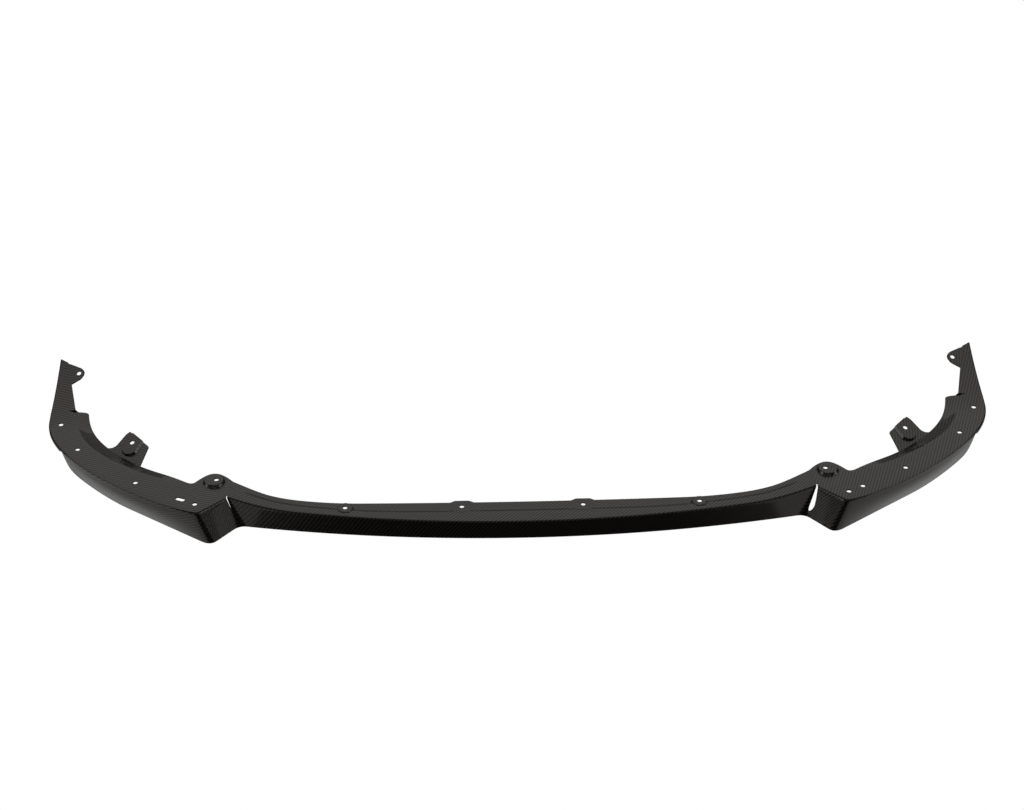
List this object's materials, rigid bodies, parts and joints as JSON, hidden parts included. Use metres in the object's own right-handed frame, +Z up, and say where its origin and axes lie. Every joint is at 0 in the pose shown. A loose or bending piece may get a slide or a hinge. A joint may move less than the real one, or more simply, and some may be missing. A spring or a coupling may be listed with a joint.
{
  "type": "front splitter lip",
  "caption": "Wide front bumper splitter lip in woven carbon laminate, with a curved nose, stepped corners and swept wings with raised tips.",
  "frame": {"origin": "centre of the bounding box in plan, at the height of the lower edges it stands on", "axes": "+X to the right along the lip, +Y to the rear towards the car, +Z up"},
  "size_m": [1.804, 0.429, 0.123],
  "materials": {
    "carbon_laminate": "gloss"
  },
  "bodies": {
    "root": {"splitter_lip": "carbon_laminate"}
  },
  "joints": []
}
